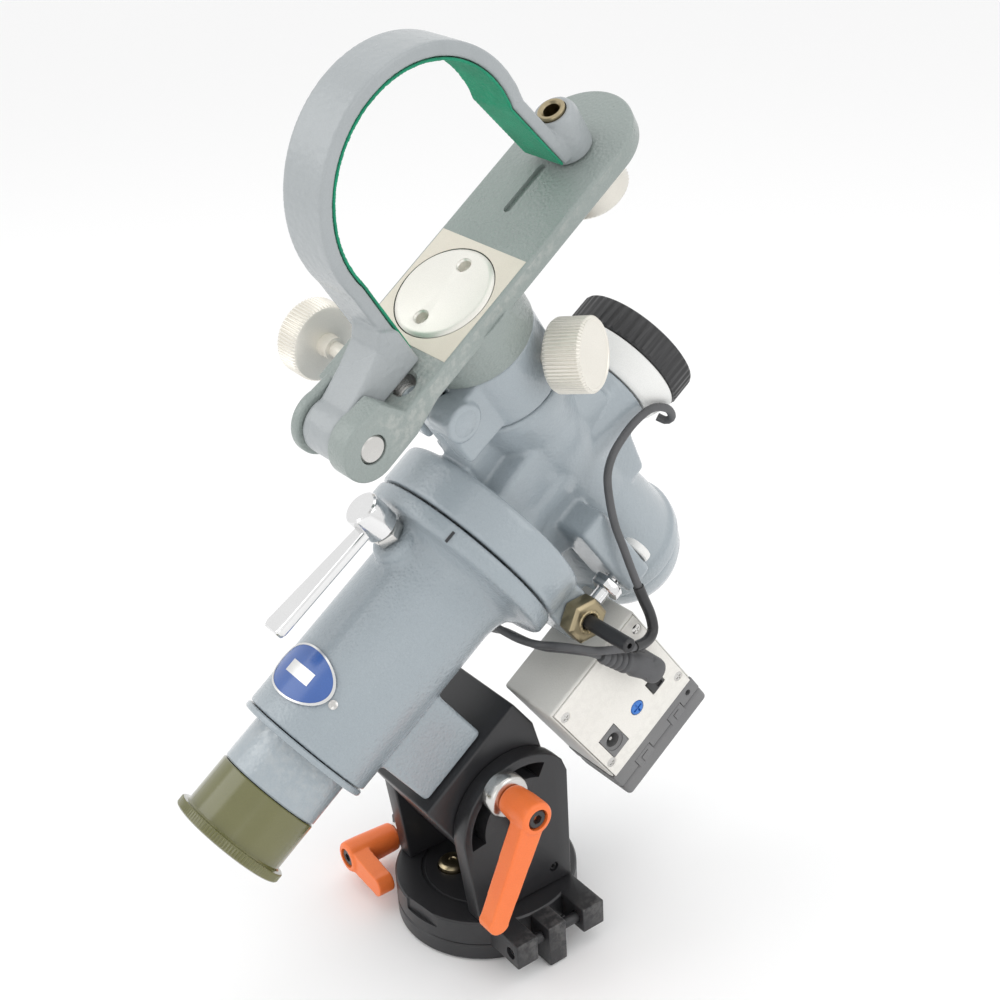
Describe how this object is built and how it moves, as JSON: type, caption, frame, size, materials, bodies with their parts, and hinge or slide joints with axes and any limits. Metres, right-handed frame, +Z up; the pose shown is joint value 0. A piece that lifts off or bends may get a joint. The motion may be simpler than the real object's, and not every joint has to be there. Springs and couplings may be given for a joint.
{
  "type": "equatorial telescope mount head",
  "caption": "Small equatorial telescope mount head with a worm-driven polar axis, a declination saddle and a hinged felt-lined tube strap.",
  "frame": {"origin": "centre of the round base's underside", "axes": "+Z up, +Y toward the pole's compass point, +X to the drive box's panel side; the polar axis rises toward +Y at 35.65 degrees"},
  "size_m": [0.1226, 0.2379, 0.3579],
  "materials": {
    "grey_paint": "semi-gloss light blue-grey paint with a fine leather grain",
    "hammered_paint": "grey hammered paint",
    "bare_aluminium": "turned bare metal",
    "plated_steel": "bright plated steel",
    "shaft_steel": "machined steel",
    "black_anodised": "satin black anodised",
    "brass": "aged brass",
    "bronze": "plain bearing bronze",
    "orange_grip": "orange moulded lever",
    "olive_plastic": "olive moulded cap",
    "felt": "green felt",
    "lens": "clear lens",
    "cream_panel": "cream painted steel",
    "dark_plastic": "dark grey moulded plastic",
    "black_plastic": "black moulded plastic",
    "blue_plate": "blue enamelled plate",
    "cable_rubber": "dark grey cable sheath",
    "white_plastic": "white moulded plastic",
    "blue_plastic": "blue trimmer"
  },
  "bodies": {
    "base": {"base_disc": "black_anodised"},
    "azimuth": {"azimuth_plate": "black_anodised", "friction_plug": "brass", "cheek_east": "black_anodised", "cheek_west": "black_anodised", "tilt_bolt": "plated_steel", "azimuth_clamp_stud": "plated_steel"},
    "azimuth_screw_s": {"azimuth_screw_south": "plated_steel"},
    "azimuth_screw_n": {"azimuth_screw_north": "plated_steel"},
    "azimuth_lever_body": {"azimuth_lever": "orange_grip"},
    "altitude": {"tilt_block": "black_anodised", "tilt_clamp_stud": "plated_steel", "polar_housing": "grey_paint", "housing_end_ring": "grey_paint", "eyepiece_sleeve": "grey_paint", "name_plate": "blue_plate", "polar_bush_lower": "bronze", "polar_bush_upper": "bronze", "worm_wheel": "bronze", "ra_clamp_nut": "plated_steel"},
    "tilt_lever_body": {"tilt_lever": "orange_grip"},
    "rear_cap": {"polar_cap": "olive_plastic"},
    "ra_clamp": {"ra_clamp_bolt": "plated_steel"},
    "ra_head": {"head_casting": "grey_paint", "polar_shaft": "shaft_steel", "polar_scope_tube": "black_anodised", "polar_scope_objective": "lens", "polar_scope_eyepiece": "lens", "illuminator_ring": "white_plastic", "motor_box": "cream_panel", "motor_panel": "cream_panel", "motor_cover": "dark_plastic", "motor_foot": "dark_plastic", "power_jack": "black_plastic", "drive_motor": "shaft_steel", "worm_bearing_cap": "brass", "mesh_adjuster": "plated_steel", "dec_bush_lower": "bronze", "dec_bush_upper": "bronze", "dec_end_cap": "grey_paint", "cable_plug": "black_plastic", "lamp_cable": "cable_rubber"},
    "worm": {"worm_shaft": "shaft_steel"},
    "pinion": {"motor_pinion": "brass"},
    "front_cap": {"port_cap": "black_plastic"},
    "trimmer": {"speed_trimmer": "blue_plastic"},
    "switch": {"drive_switch": "black_plastic"},
    "dec_fine_yoke": {"dec_clamp_ring": "grey_paint", "plunger_spring": "shaft_steel"},
    "tangent_knob": {"tangent_screw": "bare_aluminium"},
    "plunger": {"plunger_pin": "plated_steel"},
    "dec_clamp": {"dec_clamp_knob": "bare_aluminium"},
    "saddle": {"saddle_plate": "hammered_paint", "dec_shaft": "shaft_steel", "dec_shaft_nut": "bare_aluminium", "hinge_pin": "plated_steel"},
    "strap": {"tube_strap": "hammered_paint", "felt_lining": "felt", "strap_insert": "brass"},
    "strap_closing_nut": {"strap_nut": "bare_aluminium"}
  },
  "joints": [
    {"name": "azimuth_turn", "type": "hinge", "parent": "base", "child": "azimuth", "pos_m": [0, 0, 0], "axis": [0, 0, 1], "range_deg": [-3, 3]},
    {"name": "azimuth_screw_south_travel", "type": "slide", "parent": "azimuth", "child": "azimuth_screw_s", "axis": [0, -1, 0], "range_m": [-0.0025, 0.0025]},
    {"name": "azimuth_screw_north_travel", "type": "slide", "parent": "azimuth", "child": "azimuth_screw_n", "axis": [0, -1, 0], "range_m": [-0.0025, 0.0025]},
    {"name": "azimuth_lever_turn", "type": "hinge", "parent": "azimuth", "child": "azimuth_lever_body", "pos_m": [-0.046, 0, 0.013], "axis": [0, -1, 0], "range_deg": [0, 80]},
    {"name": "altitude_tilt", "type": "hinge", "parent": "azimuth", "child": "altitude", "pos_m": [0, 0, 0.058], "axis": [1, 0, 0], "range_deg": [-20, 25]},
    {"name": "tilt_lever_turn", "type": "hinge", "parent": "altitude", "child": "tilt_lever_body", "pos_m": [0, -0.01009, 0.07698], "axis": [1, 0, 0], "range_deg": [-35, 35]},
    {"name": "rear_cap_pull", "type": "slide", "parent": "altitude", "child": "rear_cap", "axis": [0, -0.8126, -0.5828], "range_m": [0, 0.03]},
    {"name": "ra_clamp_turn", "type": "hinge", "parent": "altitude", "child": "ra_clamp", "pos_m": [0, -0.01186, 0.15629], "axis": [-0.0436, -0.5823, 0.8118], "range_deg": [-25, 25]},
    {"name": "ra_turn", "type": "hinge", "parent": "altitude", "child": "ra_head", "pos_m": [0, 0, 0.1648], "axis": [0, 0.8126, 0.5828], "range_deg": [-110, 110]},
    {"name": "worm_turn", "type": "hinge", "parent": "ra_head", "child": "worm", "pos_m": [0, 0.02958, 0.13986], "axis": [1, 0, 0], "range_deg": [-5300, 5300]},
    {"name": "pinion_turn", "type": "hinge", "parent": "ra_head", "child": "pinion", "pos_m": [0.019, 0.04371, 0.10386], "axis": [0, 0.8126, 0.5828], "range_deg": [-5300, 5300]},
    {"name": "front_cap_pull", "type": "slide", "parent": "ra_head", "child": "front_cap", "axis": [0, 0.8126, 0.5828], "range_m": [0, 0.03]},
    {"name": "trimmer_turn", "type": "hinge", "parent": "ra_head", "child": "trimmer", "pos_m": [0.034, 0.05538, 0.08896], "axis": [1, 0, 0], "range_deg": [-135, 135]},
    {"name": "switch_rock", "type": "hinge", "parent": "ra_head", "child": "switch", "pos_m": [0.0341, 0.06505, 0.09676], "axis": [0, 0.5828, -0.8126], "range_deg": [-4, 4]},
    {"name": "dec_fine", "type": "hinge", "parent": "ra_head", "child": "dec_fine_yoke", "pos_m": [0, 0.04331, 0.19587], "axis": [0.1857, -0.5727, 0.7985], "range_deg": [-2, 2]},
    {"name": "tangent_screw_turn", "type": "hinge", "parent": "dec_fine_yoke", "child": "tangent_knob", "pos_m": [0.01216, -0.01614, 0.23243], "axis": [-0.9826, -0.1082, 0.1509], "range_deg": [-345, 345]},
    {"name": "plunger_travel", "type": "slide", "parent": "dec_fine_yoke", "child": "plunger", "axis": [-0.9826, -0.1082, 0.1509], "range_m": [-0.00096, 0.00096]},
    {"name": "dec_clamp_turn", "type": "hinge", "parent": "dec_fine_yoke", "child": "dec_clamp", "pos_m": [0.01098, 0.00944, 0.24309], "axis": [0.8755, 0.4653, 0.1302], "range_deg": [-180, 90]},
    {"name": "dec_turn", "type": "hinge", "parent": "dec_fine_yoke", "child": "saddle", "pos_m": [0, 0.04331, 0.19587], "axis": [0.1857, -0.5727, 0.7985], "range_deg": [-180, 80]},
    {"name": "strap_open", "type": "hinge", "parent": "saddle", "child": "strap", "pos_m": [0.01951, -0.05951, 0.23906], "axis": [0.9823, 0.1294, -0.1356], "range_deg": [0, 110]},
    {"name": "strap_nut_turn", "type": "hinge", "parent": "saddle", "child": "strap_closing_nut", "pos_m": [0.01608, 0.05212, 0.29864], "axis": [0.1857, -0.5727, 0.7985], "range_deg": [-720, 720]}
  ],
  "couplings": [
    {"joint": "azimuth_screw_south_travel", "follows": "azimuth_turn", "m_per_rad": 0.0455},
    {"joint": "azimuth_screw_north_travel", "follows": "azimuth_turn", "m_per_rad": 0.0455},
    {"joint": "worm_turn", "follows": "ra_turn", "ratio": 48},
    {"joint": "pinion_turn", "follows": "ra_turn", "ratio": 48},
    {"joint": "tangent_screw_turn", "follows": "dec_fine", "ratio": 170},
    {"joint": "plunger_travel", "follows": "dec_fine", "m_per_rad": 0.027}
  ]
}
